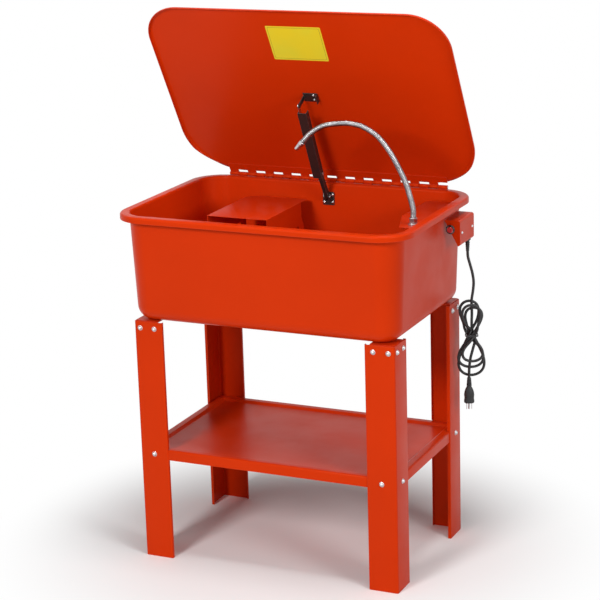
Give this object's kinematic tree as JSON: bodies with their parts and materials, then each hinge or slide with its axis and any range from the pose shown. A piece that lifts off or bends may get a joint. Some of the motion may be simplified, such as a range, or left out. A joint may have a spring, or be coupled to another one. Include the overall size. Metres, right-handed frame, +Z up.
{
  "type": "parts washer tank",
  "caption": "Free-standing parts washer: pressed steel tub with hinged lid and folding stay, gooseneck nozzle, pump, switch box with lead, and a lower shelf between angle legs.",
  "frame": {"origin": "on the floor, midway between the four legs", "axes": "+X to the user's right, +Y to the hinge at the rear, +Z up"},
  "size_m": [0.8401, 0.526, 1.376],
  "materials": {
    "red_paint": "gloss orange-red powder coat",
    "black_paint": "satin black paint",
    "zinc": "bright zinc plate",
    "hose_steel": "interlocked steel strip",
    "rubber": "satin black rubber",
    "black_plastic": "satin black moulding",
    "red_plastic": "gloss red moulding",
    "label": "plain yellow film"
  },
  "bodies": {
    "root": {"tub": "red_paint", "leg_front_left": "red_paint", "leg_front_right": "red_paint", "leg_rear_right": "red_paint", "leg_rear_left": "red_paint", "bracket_front_left": "red_paint", "bracket_front_right": "red_paint", "bracket_rear_right": "red_paint", "bracket_rear_left": "red_paint", "lower_shelf": "red_paint", "hinge_leaf_tub": "red_paint", "pump_deck": "red_paint", "work_shelf": "red_paint", "switch_box": "red_paint", "stay_bracket": "black_paint", "pump_body": "black_paint", "hinge_pin": "zinc", "stay_pivot_pin": "zinc", "hose_socket": "zinc", "bolt_front_left_top_x": "zinc", "bolt_front_left_top_y": "zinc", "bolt_front_left_shelf_x": "zinc", "bolt_front_left_shelf_y": "zinc", "bolt_front_right_top_x": "zinc", "bolt_front_right_top_y": "zinc", "bolt_front_right_shelf_x": "zinc", "bolt_front_right_shelf_y": "zinc", "bolt_rear_right_top_x": "zinc", "bolt_rear_right_top_y": "zinc", "bolt_rear_right_shelf_x": "zinc", "bolt_rear_right_shelf_y": "zinc", "bolt_rear_left_top_x": "zinc", "bolt_rear_left_top_y": "zinc", "bolt_rear_left_shelf_x": "zinc", "bolt_rear_left_shelf_y": "zinc", "pump_feed_hose": "rubber", "lead_relief": "rubber", "lead_drop": "rubber", "lead_hank": "rubber", "lead_plug": "rubber", "switch_bezel": "black_plastic", "lead_tie": "black_plastic"},
    "lid": {"lid": "red_paint", "hinge_leaf_lid": "red_paint", "lid_bracket": "black_paint"},
    "stay_lower": {"stay_lower_arm": "black_paint"},
    "stay_upper": {"stay_upper_arm": "black_paint", "fusible_link": "zinc", "fusible_link_rivet": "zinc", "stay_knee_pin": "zinc"},
    "gooseneck": {"gooseneck_hose": "hose_steel", "hose_nozzle": "zinc", "hose_nut": "zinc"},
    "rocker": {"switch_rocker": "red_plastic"},
    "drain": {"drain_plug": "zinc", "drain_gasket": "rubber"},
    "impeller": {"pump_impeller": "black_plastic"}
  },
  "joints": [
    {"name": "lid_hinge", "type": "hinge", "parent": "root", "child": "lid", "pos_m": [0, 0.2555, 0.9043], "axis": [1, 0, 0], "range_deg": [0, 60], "deforming": ["gooseneck_hose", "hose_nozzle"]},
    {"name": "stay_lower_fold", "type": "hinge", "parent": "root", "child": "stay_lower", "pos_m": [-0.018, 0.226, 0.866], "axis": [1, 0, 0], "range_deg": [0, 113]},
    {"name": "stay_knee_fold", "type": "hinge", "parent": "stay_lower", "child": "stay_upper", "pos_m": [-0.018, 0.18243, 0.93546], "axis": [1, 0, 0], "range_deg": [-69.2, 0]},
    {"name": "gooseneck_swivel", "type": "hinge", "parent": "root", "child": "gooseneck", "pos_m": [0.325, -0.034, 0.882], "axis": [0, 0, 1], "range_deg": [-30, 35]},
    {"name": "switch_rock", "type": "hinge", "parent": "root", "child": "rocker", "pos_m": [0.377, 0.08, 0.841], "axis": [1, 0, 0], "range_deg": [-14, 0]},
    {"name": "drain_plug_out", "type": "slide", "parent": "root", "child": "drain", "axis": [0, 0, -1], "range_m": [0, 0.03]},
    {"name": "impeller_spin", "type": "hinge", "parent": "root", "child": "impeller", "pos_m": [0.288, 0.12, 0.65], "axis": [0, 0, 1], "continuous": true}
  ],
  "couplings": [
    {"joint": "stay_lower_fold", "follows": "lid_hinge", "ratio": 1.8813},
    {"joint": "stay_knee_fold", "follows": "lid_hinge", "ratio": -1.1526}
  ]
}
